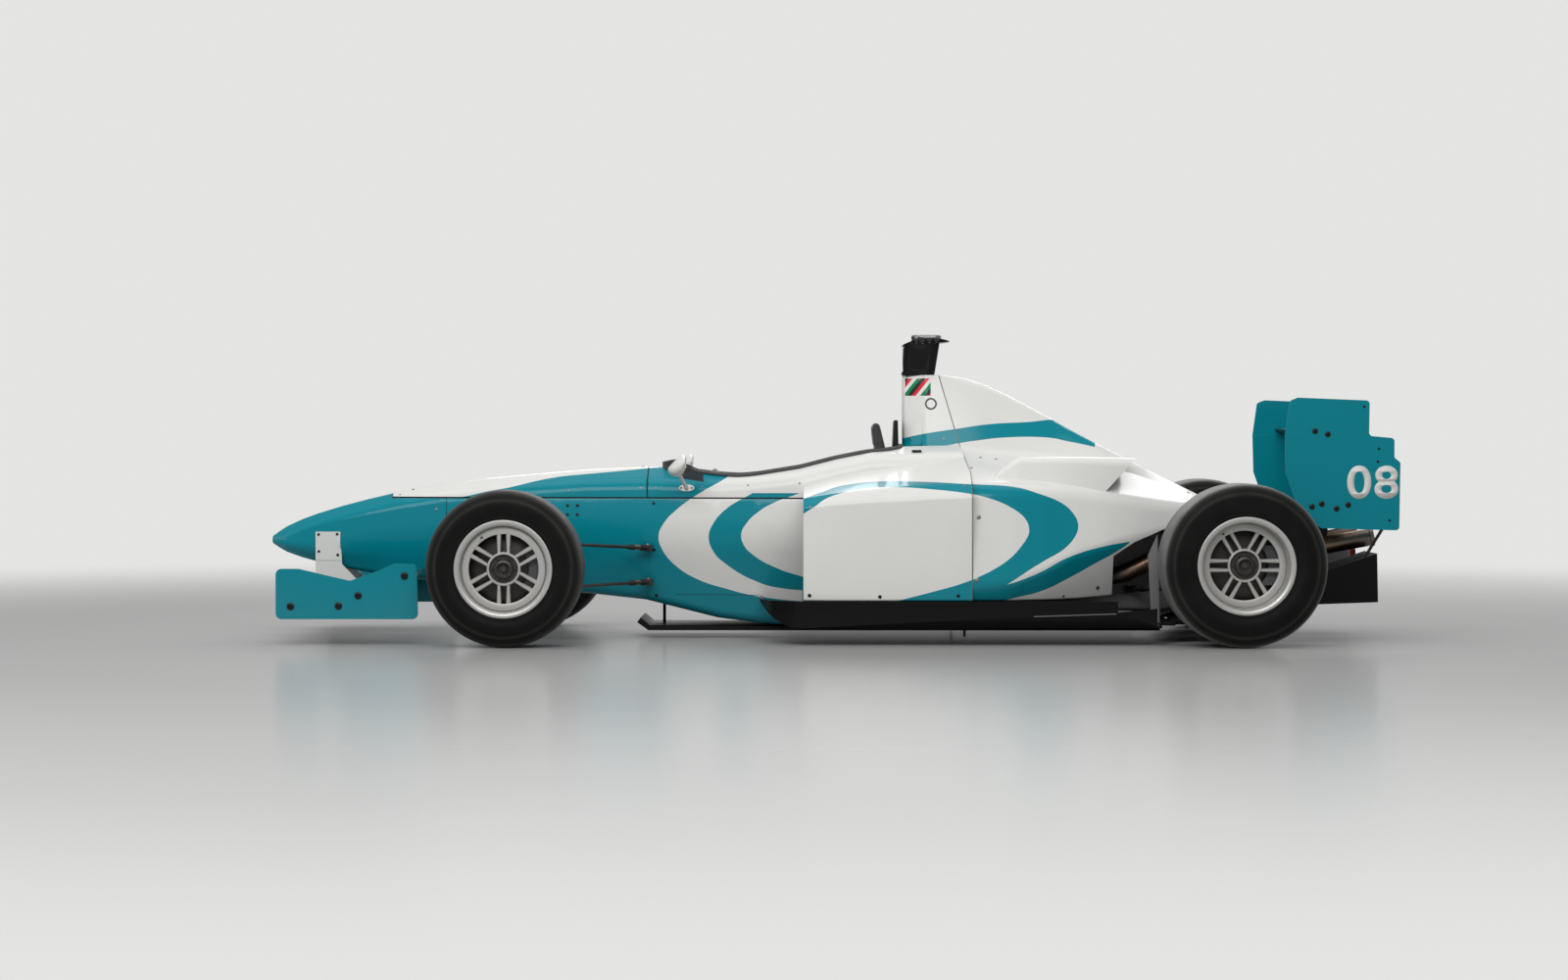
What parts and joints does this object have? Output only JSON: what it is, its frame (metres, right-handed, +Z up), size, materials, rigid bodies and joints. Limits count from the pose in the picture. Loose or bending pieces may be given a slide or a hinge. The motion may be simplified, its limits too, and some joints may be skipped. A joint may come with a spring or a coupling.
{
  "type": "open wheel racing car",
  "caption": "Single-seat open wheel racing car with front and rear wings, slick tyres, sidepods, a high engine air intake and steered front wheels.",
  "frame": {"origin": "on the ground, midway along the car's length, on its centre plane", "axes": "+X forward towards the nose, +Y to the car's left, +Z up"},
  "size_m": [4.3599, 1.76, 1.184],
  "materials": {
    "white_paint": "gloss paint over composite",
    "teal_paint": "gloss paint over composite",
    "black_composite": "satin carbon composite",
    "black_paint": "satin",
    "cast_metal": "cast",
    "machined_metal": "machined",
    "exhaust_metal": "heat tinted",
    "pad": "covered foam",
    "screen": "tinted",
    "red_lens": "moulded",
    "wheel_grip": "suede",
    "tyre_rubber": "slick",
    "rim_alloy": "painted silver",
    "brake_iron": "ground"
  },
  "bodies": {
    "chassis": {"tub": "teal_paint", "front_hatch": "teal_paint", "nose_cone": "teal_paint", "cockpit_surround": "white_paint", "roll_hoop_fairing": "white_paint", "air_intake": "black_composite", "sidepods": "white_paint", "engine_cover": "white_paint", "hot_air_outlets": "white_paint", "floor": "black_composite", "plank": "black_composite", "diffuser": "black_composite", "engine": "cast_metal", "gearbox": "cast_metal", "exhausts": "exhaust_metal", "rear_wing_plates": "teal_paint", "rear_wing_planes": "black_composite", "rear_wing_mount": "black_paint", "rain_light": "red_lens", "front_wing_plates": "teal_paint", "front_wing_main": "black_composite", "front_wing_flaps": "teal_paint", "front_wing_pylons": "white_paint", "uprights_rear": "machined_metal", "suspension_front": "black_paint", "suspension_rear": "black_paint", "seat": "black_composite", "headrest": "pad", "dash": "black_composite", "windscreen": "screen", "mirrors": "white_paint", "radiators": "cast_metal", "rear_vanes": "black_composite"},
    "steering_rack": {"steering_rack": "machined_metal"},
    "steering_wheel": {"steering_wheel": "wheel_grip"},
    "upright_front_left": {"upright_front_left": "machined_metal"},
    "wheel_front_left": {"tyre_front_left": "tyre_rubber", "rim_front_left": "rim_alloy", "brake_front_left": "brake_iron"},
    "wheel_rear_left": {"tyre_rear_left": "tyre_rubber", "rim_rear_left": "rim_alloy", "brake_rear_left": "brake_iron"},
    "upright_front_right": {"upright_front_right": "machined_metal"},
    "wheel_front_right": {"tyre_front_right": "tyre_rubber", "rim_front_right": "rim_alloy", "brake_front_right": "brake_iron"},
    "wheel_rear_right": {"tyre_rear_right": "tyre_rubber", "rim_rear_right": "rim_alloy", "brake_rear_right": "brake_iron"}
  },
  "joints": [
    {"name": "steer_left", "type": "hinge", "parent": "chassis", "child": "upright_front_left", "pos_m": [1.195, 0.676, 0.293], "axis": [0, 0, 1], "range_deg": [-18, 18]},
    {"name": "steer_right", "type": "hinge", "parent": "chassis", "child": "upright_front_right", "pos_m": [1.195, -0.676, 0.293], "axis": [0, 0, 1], "range_deg": [-18, 18]},
    {"name": "spin_front_left", "type": "hinge", "parent": "upright_front_left", "child": "wheel_front_left", "pos_m": [1.195, 0.755, 0.293], "axis": [0, 1, 0], "continuous": true},
    {"name": "spin_rear_left", "type": "hinge", "parent": "chassis", "child": "wheel_rear_left", "pos_m": [-1.555, 0.7075, 0.305], "axis": [0, 1, 0], "continuous": true},
    {"name": "spin_front_right", "type": "hinge", "parent": "upright_front_right", "child": "wheel_front_right", "pos_m": [1.195, -0.755, 0.293], "axis": [0, 1, 0], "continuous": true},
    {"name": "spin_rear_right", "type": "hinge", "parent": "chassis", "child": "wheel_rear_right", "pos_m": [-1.555, -0.7075, 0.305], "axis": [0, 1, 0], "continuous": true},
    {"name": "rack_slide", "type": "slide", "parent": "chassis", "child": "steering_rack", "axis": [0, 1, 0], "range_m": [-0.034, 0.034]},
    {"name": "steering_wheel_turn", "type": "hinge", "parent": "chassis", "child": "steering_wheel", "pos_m": [0.412, 0, 0.514], "axis": [-0.9839, 0, 0.1788], "range_deg": [-220, 220]}
  ],
  "couplings": [
    {"joint": "steer_right", "follows": "steer_left", "ratio": 1},
    {"joint": "rack_slide", "follows": "steer_left", "m_per_rad": 0.105},
    {"joint": "steering_wheel_turn", "follows": "steer_left", "ratio": 12}
  ]
}
